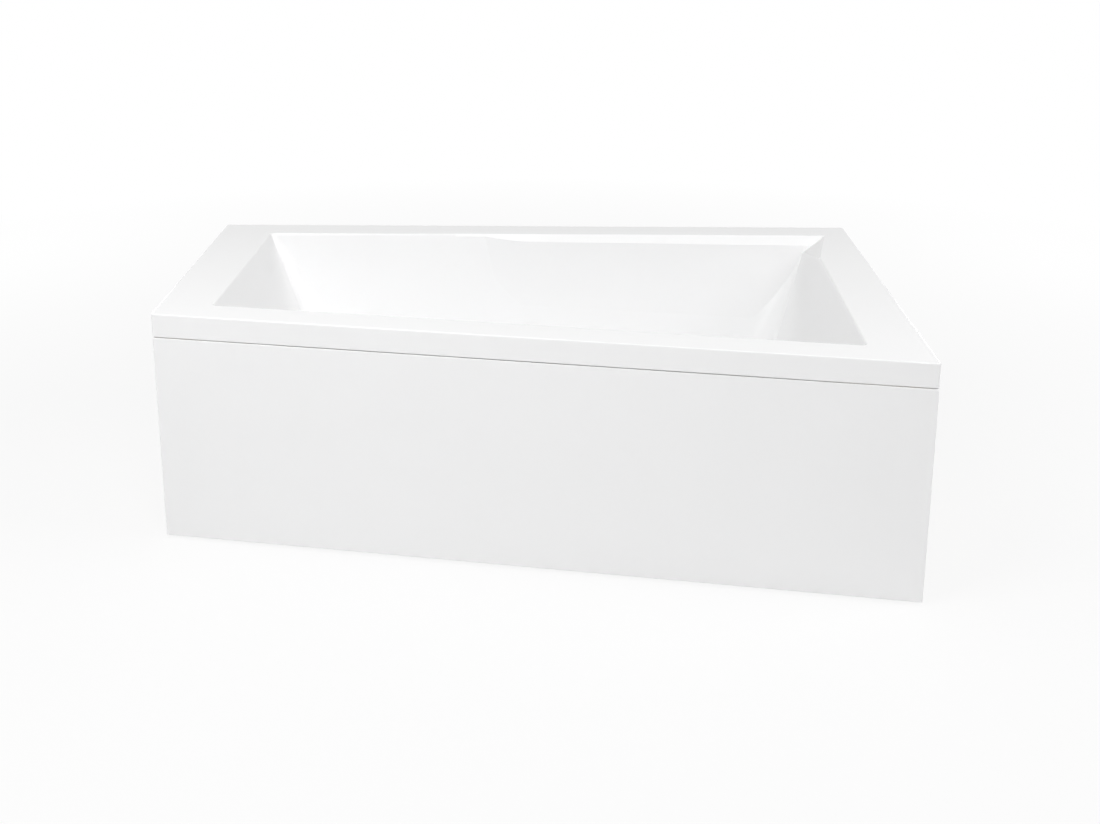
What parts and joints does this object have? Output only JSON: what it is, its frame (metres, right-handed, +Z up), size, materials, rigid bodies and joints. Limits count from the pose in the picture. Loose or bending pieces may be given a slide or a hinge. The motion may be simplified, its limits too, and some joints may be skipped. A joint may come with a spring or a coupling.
{
  "type": "asymmetrical bathtub",
  "caption": "White acrylic bathtub of trapezium plan with a flat rim, sloped inner ends, bevelled armrest, flush pull-off front panel, levelling feet and a knob-operated pop-up waste.",
  "frame": {"origin": "centre of the plan bounding box, at floor level", "axes": "+X towards the wide end, +Y towards the wall side, +Z up"},
  "size_m": [1.7, 1.0996, 0.55],
  "materials": {
    "acrylic": "white sanitary acrylic, polished",
    "laminate": "sprayed glass-fibre laminate, rough",
    "chipboard": "raw chipboard",
    "timber": "sawn softwood",
    "zinc_steel": "zinc-plated steel",
    "black_plastic": "moulded, satin",
    "white_plastic": "moulded polypropylene, satin",
    "grey_hose": "flexible ribbed plastic",
    "chrome": "polished chrome plate",
    "rubber": "moulded rubber"
  },
  "bodies": {
    "bath": {"tub_shell": "acrylic", "laminate_backing": "laminate", "base_board": "chipboard", "rim_batten_front": "timber", "rim_batten_right": "timber", "rim_batten_rear": "timber", "rim_batten_left": "timber", "crossbar_left": "zinc_steel", "crossbar_right": "zinc_steel", "crossbar_screws": "zinc_steel", "weld_nuts": "zinc_steel", "lock_nuts": "zinc_steel", "wall_brackets": "zinc_steel", "bracket_screws": "zinc_steel", "panel_top_clips": "zinc_steel", "clip_screws": "zinc_steel", "panel_arms": "zinc_steel", "arm_bolts": "zinc_steel", "arm_nuts": "zinc_steel", "overflow_screws": "zinc_steel", "control_cable": "black_plastic", "cable_glands": "black_plastic", "lifter_housing": "black_plastic", "waste_body": "white_plastic", "trap_bowl": "white_plastic", "trap_cap": "white_plastic", "trap_inlet_nut": "white_plastic", "trap_outlet_nut": "white_plastic", "outlet_pipe": "white_plastic", "overflow_body": "white_plastic", "hose_nuts": "white_plastic", "overflow_hose": "grey_hose", "waste_flange": "chrome", "overflow_faceplate": "chrome", "waste_upper_seal": "rubber", "waste_lower_seal": "rubber", "overflow_seal": "rubber"},
    "plug": {"plug_cap": "chrome", "plug_seal": "rubber", "plug_stem": "chrome"},
    "crank": {"lift_crank": "zinc_steel"},
    "knob": {"overflow_knob": "chrome", "knob_spindle": "zinc_steel"},
    "panel": {"front_panel": "acrylic", "panel_stiffeners": "chipboard"},
    "foot_front_left": {"foot_stud_front_left": "zinc_steel", "foot_pad_front_left": "black_plastic"},
    "foot_rear_left": {"foot_stud_rear_left": "zinc_steel", "foot_pad_rear_left": "black_plastic"},
    "foot_front_right": {"foot_stud_front_right": "zinc_steel", "foot_pad_front_right": "black_plastic"},
    "foot_rear_right": {"foot_stud_rear_right": "zinc_steel", "foot_pad_rear_right": "black_plastic"}
  },
  "joints": [
    {"name": "foot_front_left_level", "type": "slide", "parent": "bath", "child": "foot_front_left", "axis": [0, 0, 1], "range_m": [-0.015, 0.015]},
    {"name": "foot_rear_left_level", "type": "slide", "parent": "bath", "child": "foot_rear_left", "axis": [0, 0, 1], "range_m": [-0.015, 0.015]},
    {"name": "foot_front_right_level", "type": "slide", "parent": "bath", "child": "foot_front_right", "axis": [0, 0, 1], "range_m": [-0.015, 0.015]},
    {"name": "foot_rear_right_level", "type": "slide", "parent": "bath", "child": "foot_rear_right", "axis": [0, 0, 1], "range_m": [-0.015, 0.015]},
    {"name": "knob_turn", "type": "hinge", "parent": "bath", "child": "knob", "pos_m": [0.01738, -0.30154, 0.455], "axis": [0.1728, 0.9794, 0.1045], "range_deg": [0, 90]},
    {"name": "plug_lift", "type": "slide", "parent": "bath", "child": "plug", "axis": [0, 0, 1], "range_m": [0, 0.012]},
    {"name": "crank_swing", "type": "hinge", "parent": "bath", "child": "crank", "pos_m": [0.04729, -0.13203, 0.0792], "axis": [0.9848, -0.1738, 0], "range_deg": [0, 50]},
    {"name": "panel_pull", "type": "slide", "parent": "bath", "child": "panel", "axis": [-0.1738, -0.9848, 0], "range_m": [0, 0.25]}
  ],
  "couplings": [
    {"joint": "plug_lift", "follows": "knob_turn", "m_per_rad": 0.0076394},
    {"joint": "crank_swing", "follows": "knob_turn", "ratio": 0.55556}
  ]
}
